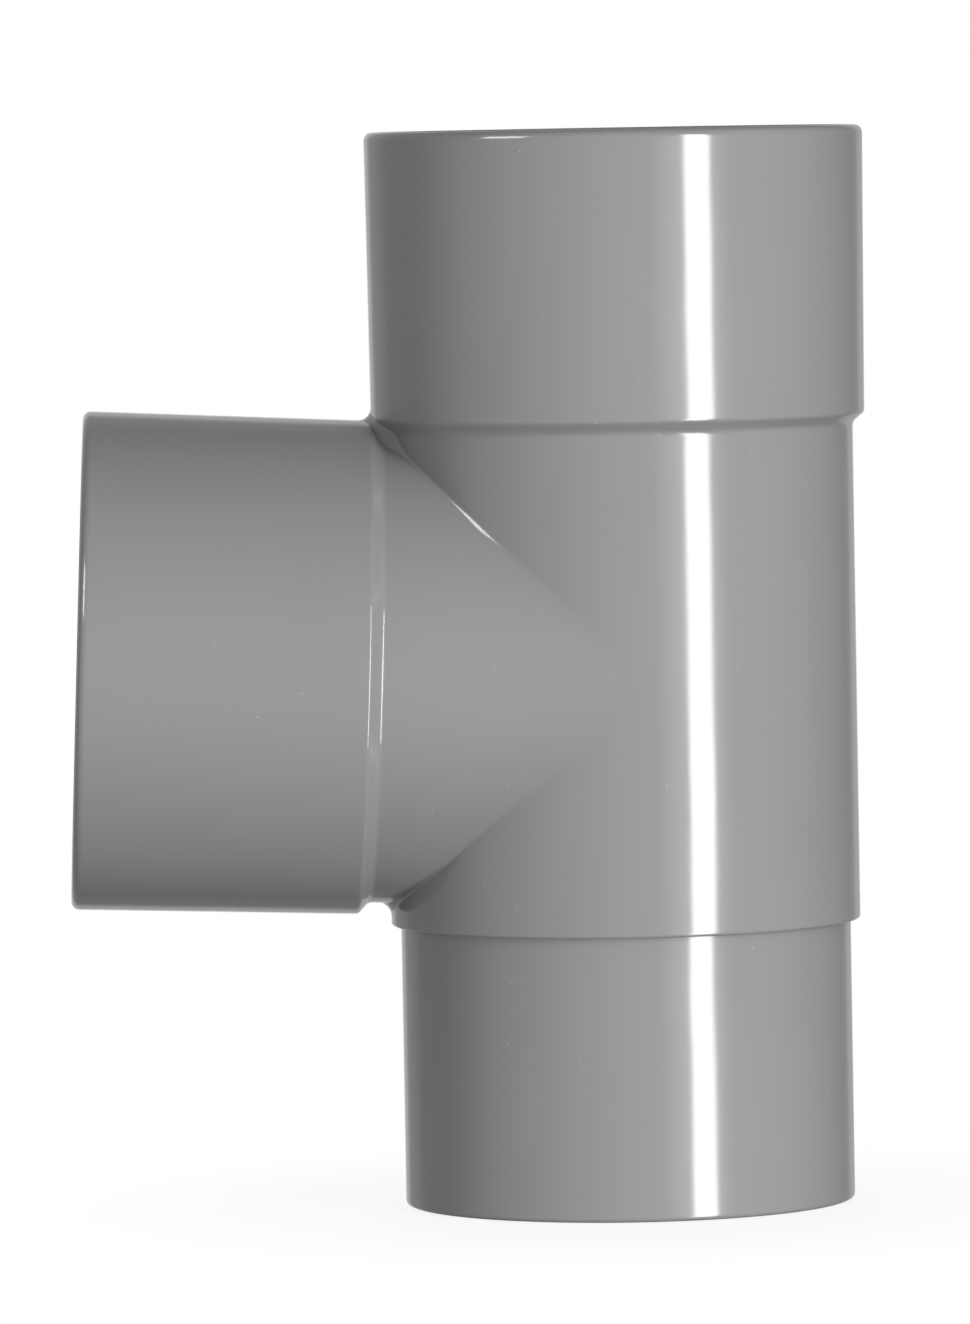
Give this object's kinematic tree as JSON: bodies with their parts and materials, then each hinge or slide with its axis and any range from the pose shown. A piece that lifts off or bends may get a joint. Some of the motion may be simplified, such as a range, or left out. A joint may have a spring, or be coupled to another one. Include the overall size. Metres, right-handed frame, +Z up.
{
  "type": "pipe tee",
  "caption": "Round rainwater downpipe tee in one moulding, with a socket on top, a reduced spigot below and a socketed side branch at 87.5 degrees",
  "frame": {"origin": "centre of the spigot's lower end, on the run's axis; the run_spigot mount's point lies 0.8 mm above it, where the spigot's straight wall begins past its rounded edge", "axes": "+Z up the run towards the top socket's mouth, -X towards the branch, +Y across the branch; the fitting is mirror-symmetric about the XZ plane"},
  "size_m": [0.1369, 0.0848, 0.1828],
  "materials": {
    "grey_pvc": "smooth injection-moulded grey PVC-U, as moulded"
  },
  "bodies": {
    "root": {"tee": "grey_pvc"}
  },
  "joints": []
}
